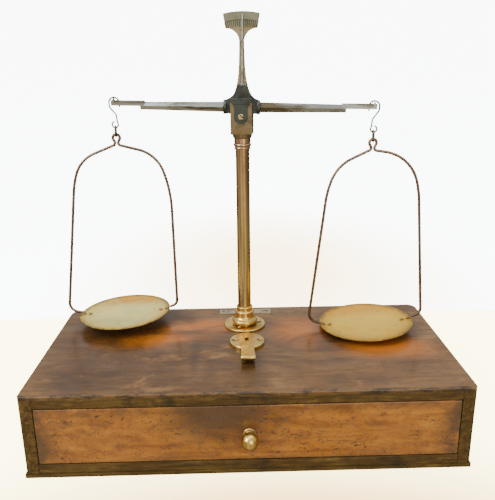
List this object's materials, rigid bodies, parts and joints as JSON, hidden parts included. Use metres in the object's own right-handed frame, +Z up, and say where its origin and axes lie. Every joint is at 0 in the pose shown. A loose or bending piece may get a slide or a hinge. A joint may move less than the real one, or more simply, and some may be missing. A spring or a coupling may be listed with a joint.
{
  "type": "column balance scale",
  "caption": "Column balance with hanging pans, a lifting head, a scale fan behind the needle, and a wooden base with one drawer.",
  "frame": {"origin": "middle of the wooden base's underside, under its four edges and not counting the drawer knob", "axes": "+X to the right along the front, +Y to the back, +Z up along the column"},
  "size_m": [0.3416, 0.1916, 0.3414],
  "materials": {
    "varnished_top": "varnish, glossy",
    "frame_wood": "worn wax",
    "dark_wood": "dark stain, worn",
    "plain_wood": "bare",
    "burr_wood": "varnish, worn",
    "aged_brass": "aged, handled",
    "brown_brass": "lacquered, brown",
    "dark_steel": "blued",
    "tarnished_steel": "tarnished",
    "brown_wire": "copper brown",
    "pale_brass": "dull, pale",
    "pale_knob": "polished by hand"
  },
  "bodies": {
    "base": {"top_board": "varnished_top", "bottom_board": "dark_wood", "left_side": "frame_wood", "right_side": "frame_wood", "back_board": "frame_wood", "top_rail": "frame_wood", "bottom_rail": "frame_wood", "drawer_runners": "plain_wood", "drawer_stops": "plain_wood", "column_flange": "aged_brass", "flange_screws": "brown_brass", "base_collar": "aged_brass", "column_tube": "aged_brass", "top_collar": "aged_brass", "lever_plate": "aged_brass", "lever_plate_screws": "brown_brass", "lever_pivot_pin": "tarnished_steel", "rear_strip": "tarnished_steel", "rear_strip_screws": "tarnished_steel"},
    "lever": {"lift_lever": "aged_brass"},
    "lift": {"lift_rod": "tarnished_steel", "head_block": "brown_brass", "front_cheek": "dark_steel", "rear_cheek": "dark_steel", "cheek_screws": "aged_brass", "knife_bearings": "tarnished_steel", "scale_tower": "aged_brass", "tower_screws": "aged_brass"},
    "beam": {"beam_center": "dark_steel", "left_arm": "tarnished_steel", "right_arm": "tarnished_steel", "center_knife": "tarnished_steel", "end_knives": "tarnished_steel", "needle": "dark_steel"},
    "left_hook": {"left_hook": "dark_steel"},
    "left_link": {"left_link": "aged_brass"},
    "left_hanger": {"left_stirrup": "brown_wire", "left_pan": "pale_brass"},
    "right_hook": {"right_hook": "dark_steel"},
    "right_link": {"right_link": "aged_brass"},
    "right_hanger": {"right_stirrup": "brown_wire", "right_pan": "pale_brass"},
    "drawer": {"drawer_front": "burr_wood", "drawer_left_side": "plain_wood", "drawer_right_side": "plain_wood", "drawer_back": "plain_wood", "drawer_bottom": "plain_wood", "knob_rose": "aged_brass", "drawer_knob": "pale_knob", "knob_nut": "aged_brass"}
  },
  "joints": [
    {"name": "drawer_slide", "type": "slide", "parent": "base", "child": "drawer", "axis": [0, -1, 0], "range_m": [0, 0.115]},
    {"name": "lift_slide", "type": "slide", "parent": "base", "child": "lift", "axis": [0, 0, 1], "range_m": [0, 0.0032]},
    {"name": "lever_pivot", "type": "hinge", "parent": "base", "child": "lever", "pos_m": [0.0006, 0.0008, 0.0654], "axis": [1, 0, 0], "range_deg": [0, 4.63]},
    {"name": "beam_knife", "type": "hinge", "parent": "lift", "child": "beam", "pos_m": [-0.0006, 0.04, 0.272], "axis": [0.1132, 0.9936, 0], "range_deg": [-2, 0.1]},
    {"name": "left_hook_knife", "type": "hinge", "parent": "beam", "child": "left_hook", "pos_m": [-0.10951, 0.05241, 0.2741], "axis": [0, -1, 0], "range_deg": [-4, 4]},
    {"name": "left_link_swing", "type": "hinge", "parent": "left_hook", "child": "left_link", "pos_m": [-0.10951, 0.05241, 0.2496], "axis": [1, 0, 0], "range_deg": [-5, 5]},
    {"name": "left_stirrup_swing", "type": "hinge", "parent": "left_link", "child": "left_hanger", "pos_m": [-0.10951, 0.05241, 0.24195], "axis": [0, -1, 0], "range_deg": [-4, 4.5]},
    {"name": "right_hook_knife", "type": "hinge", "parent": "beam", "child": "right_hook", "pos_m": [0.10824, 0.0276, 0.2697], "axis": [0, 1, 0], "range_deg": [-1.6, 4]},
    {"name": "right_link_swing", "type": "hinge", "parent": "right_hook", "child": "right_link", "pos_m": [0.10824, 0.0276, 0.2452], "axis": [1, 0, 0], "range_deg": [-5, 5]},
    {"name": "right_stirrup_swing", "type": "hinge", "parent": "right_link", "child": "right_hanger", "pos_m": [0.10824, 0.0276, 0.23755], "axis": [0, 1, 0], "range_deg": [-1.6, 4.5]}
  ],
  "couplings": [
    {"joint": "lever_pivot", "follows": "lift_slide", "rad_per_m": 25.2}
  ]
}
